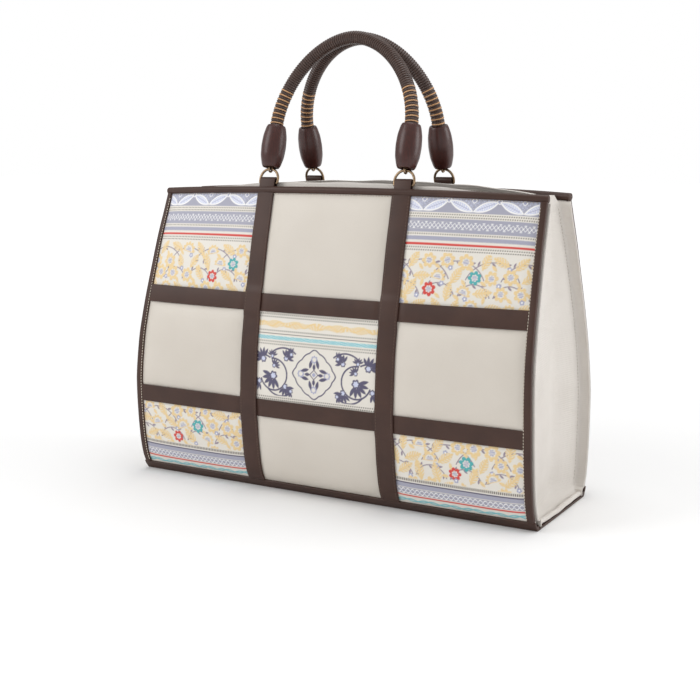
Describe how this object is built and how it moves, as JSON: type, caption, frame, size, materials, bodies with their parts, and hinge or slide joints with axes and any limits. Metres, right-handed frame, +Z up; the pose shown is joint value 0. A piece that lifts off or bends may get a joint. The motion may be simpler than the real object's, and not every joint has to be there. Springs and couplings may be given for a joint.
{
  "type": "tote bag",
  "caption": "Open-top patchwork tote bag with padded cells between leather straps, cloth gussets and arched cord-wrapped handles that swing on rings",
  "frame": {"origin": "centre of the base, on the plane that the bag stands on", "axes": "+Z up through the mouth, -Y out of the decorated front, +X along the width to the right as seen from the front"},
  "size_m": [0.3836, 0.1486, 0.3955],
  "materials": {
    "brown_leather": "smooth, satin",
    "greige_leather": "fine grain, padded",
    "brocade": "figured silk weave",
    "canvas": "fine plain weave",
    "dark_wood": "turned, lacquered",
    "handle_cord": "wrapped cord",
    "antique_brass": "antique, polished"
  },
  "bodies": {
    "bag": {"back_binding_bottom": "brown_leather", "back_binding_left": "brown_leather", "back_binding_right": "brown_leather", "back_binding_rim": "brown_leather", "back_leather_bottom_left": "greige_leather", "back_leather_bottom_middle": "greige_leather", "back_leather_bottom_right": "greige_leather", "back_leather_middle_left": "greige_leather", "back_leather_middle_middle": "greige_leather", "back_leather_middle_right": "greige_leather", "back_leather_top_left": "greige_leather", "back_leather_top_middle": "greige_leather", "back_leather_top_right": "greige_leather", "back_lining": "canvas", "back_placket": "canvas", "back_strap_left": "brown_leather", "back_strap_right": "brown_leather", "back_strip_lower": "brown_leather", "back_strip_upper": "brown_leather", "back_tab_left": "brown_leather", "back_tab_right": "brown_leather", "base": "brown_leather", "front_binding_bottom": "brown_leather", "front_binding_left": "brown_leather", "front_binding_right": "brown_leather", "front_binding_rim": "brown_leather", "front_brocade_bottom_left": "brocade", "front_brocade_bottom_right": "brocade", "front_brocade_middle_middle": "brocade", "front_brocade_top_left": "brocade", "front_brocade_top_right": "brocade", "front_leather_bottom_middle": "greige_leather", "front_leather_middle_left": "greige_leather", "front_leather_middle_right": "greige_leather", "front_leather_top_middle": "greige_leather", "front_lining": "canvas", "front_placket": "canvas", "front_strap_left": "brown_leather", "front_strap_right": "brown_leather", "front_strip_lower": "brown_leather", "front_strip_upper": "brown_leather", "front_tab_left": "brown_leather", "front_tab_right": "brown_leather", "gusset_left": "canvas", "gusset_right": "canvas"},
    "front_handle_set": {"front_bead_left": "dark_wood", "front_bead_right": "dark_wood", "front_eye_left": "antique_brass", "front_eye_right": "antique_brass", "front_handle": "handle_cord", "front_ring_left": "antique_brass", "front_ring_right": "antique_brass"},
    "back_handle_set": {"back_bead_left": "dark_wood", "back_bead_right": "dark_wood", "back_eye_left": "antique_brass", "back_eye_right": "antique_brass", "back_handle": "handle_cord", "back_ring_left": "antique_brass", "back_ring_right": "antique_brass"}
  },
  "joints": [
    {"name": "front_handle_swing", "type": "hinge", "parent": "bag", "child": "front_handle_set", "pos_m": [0, -0.039, 0.26515], "axis": [1, 0, 0], "range_deg": [0, 118]},
    {"name": "back_handle_swing", "type": "hinge", "parent": "bag", "child": "back_handle_set", "pos_m": [0, 0.039, 0.26515], "axis": [-1, 0, 0], "range_deg": [0, 118]}
  ]
}
